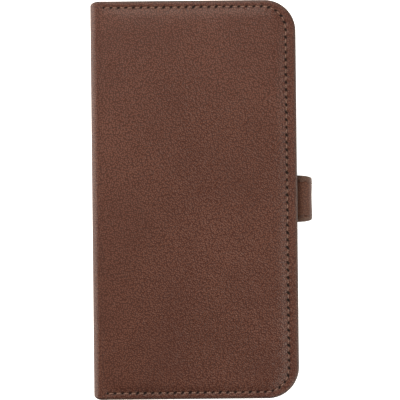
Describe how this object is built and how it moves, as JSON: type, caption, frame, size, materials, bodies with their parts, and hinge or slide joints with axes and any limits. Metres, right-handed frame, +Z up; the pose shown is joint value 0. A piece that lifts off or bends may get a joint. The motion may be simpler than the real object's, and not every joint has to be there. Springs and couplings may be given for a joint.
{
  "type": "phone wallet case",
  "caption": "Folding leather phone wallet case: a stitched front cover with card pockets hinges over a moulded phone shell on a back cover, closed by a magnetic strap.",
  "frame": {"origin": "on the table under the middle of the closed case, strap included; the case lies on its back", "axes": "+X to the free edge where the strap is, +Y to the top of the case, +Z up out of the front cover"},
  "size_m": [0.0908, 0.165, 0.0199],
  "materials": {
    "outer_leather": "semi-matte reddish brown, fine grain",
    "pocket_leather": "thin semi-matte brown leather",
    "lining": "brushed suede-like microfibre, warm brown",
    "thread": "waxed polyester thread, tone on tone",
    "board": "grey stiffening board",
    "foam": "thin padding",
    "adhesive": "double-sided adhesive pad",
    "shell": "flexible moulded plastic, satin",
    "steel": "plain steel",
    "magnet": "plated disc magnet"
  },
  "bodies": {
    "back_cover": {"back_leather": "outer_leather", "back_board": "board", "back_lining": "lining", "back_stitching": "thread", "shell_adhesive": "adhesive", "phone_shell": "shell", "strap_root": "outer_leather"},
    "spine": {"spine_leather": "outer_leather", "spine_board": "board", "spine_lining": "lining"},
    "front_cover": {"front_leather": "outer_leather", "front_padding": "foam", "front_board": "board", "clasp_plate": "steel", "front_lining": "lining", "cash_pocket": "pocket_leather", "card_pocket_1": "pocket_leather", "card_pocket_2": "pocket_leather", "card_pocket_3": "pocket_leather", "front_stitching": "thread", "pocket_stitching": "thread"},
    "strap_loop": {"strap_loop_leather": "outer_leather", "strap_loop_lining": "lining", "strap_loop_stitching": "thread"},
    "strap_tip": {"strap_tip_leather": "outer_leather", "strap_tip_lining": "lining", "clasp_magnet": "magnet", "strap_tip_stitching": "thread"}
  },
  "joints": [
    {"name": "spine_fold", "type": "hinge", "parent": "back_cover", "child": "spine", "pos_m": [-0.0454, 0, 0], "axis": [0, -1, 0], "range_deg": [0, 90]},
    {"name": "cover_fold", "type": "hinge", "parent": "spine", "child": "front_cover", "pos_m": [-0.0454, 0, 0.0199], "axis": [0, -1, 0], "range_deg": [0, 90]},
    {"name": "strap_swing", "type": "hinge", "parent": "back_cover", "child": "strap_loop", "pos_m": [0.0408, 0, 0.0016], "axis": [0, 1, 0], "range_deg": [0, 40]},
    {"name": "strap_tip_bend", "type": "hinge", "parent": "strap_loop", "child": "strap_tip", "pos_m": [0.0408, 0, 0.0137], "axis": [0, 1, 0], "range_deg": [0, 90]}
  ],
  "couplings": [
    {"joint": "strap_swing", "follows": "cover_fold", "ratio": 0.4444},
    {"joint": "strap_tip_bend", "follows": "cover_fold", "ratio": 1}
  ]
}
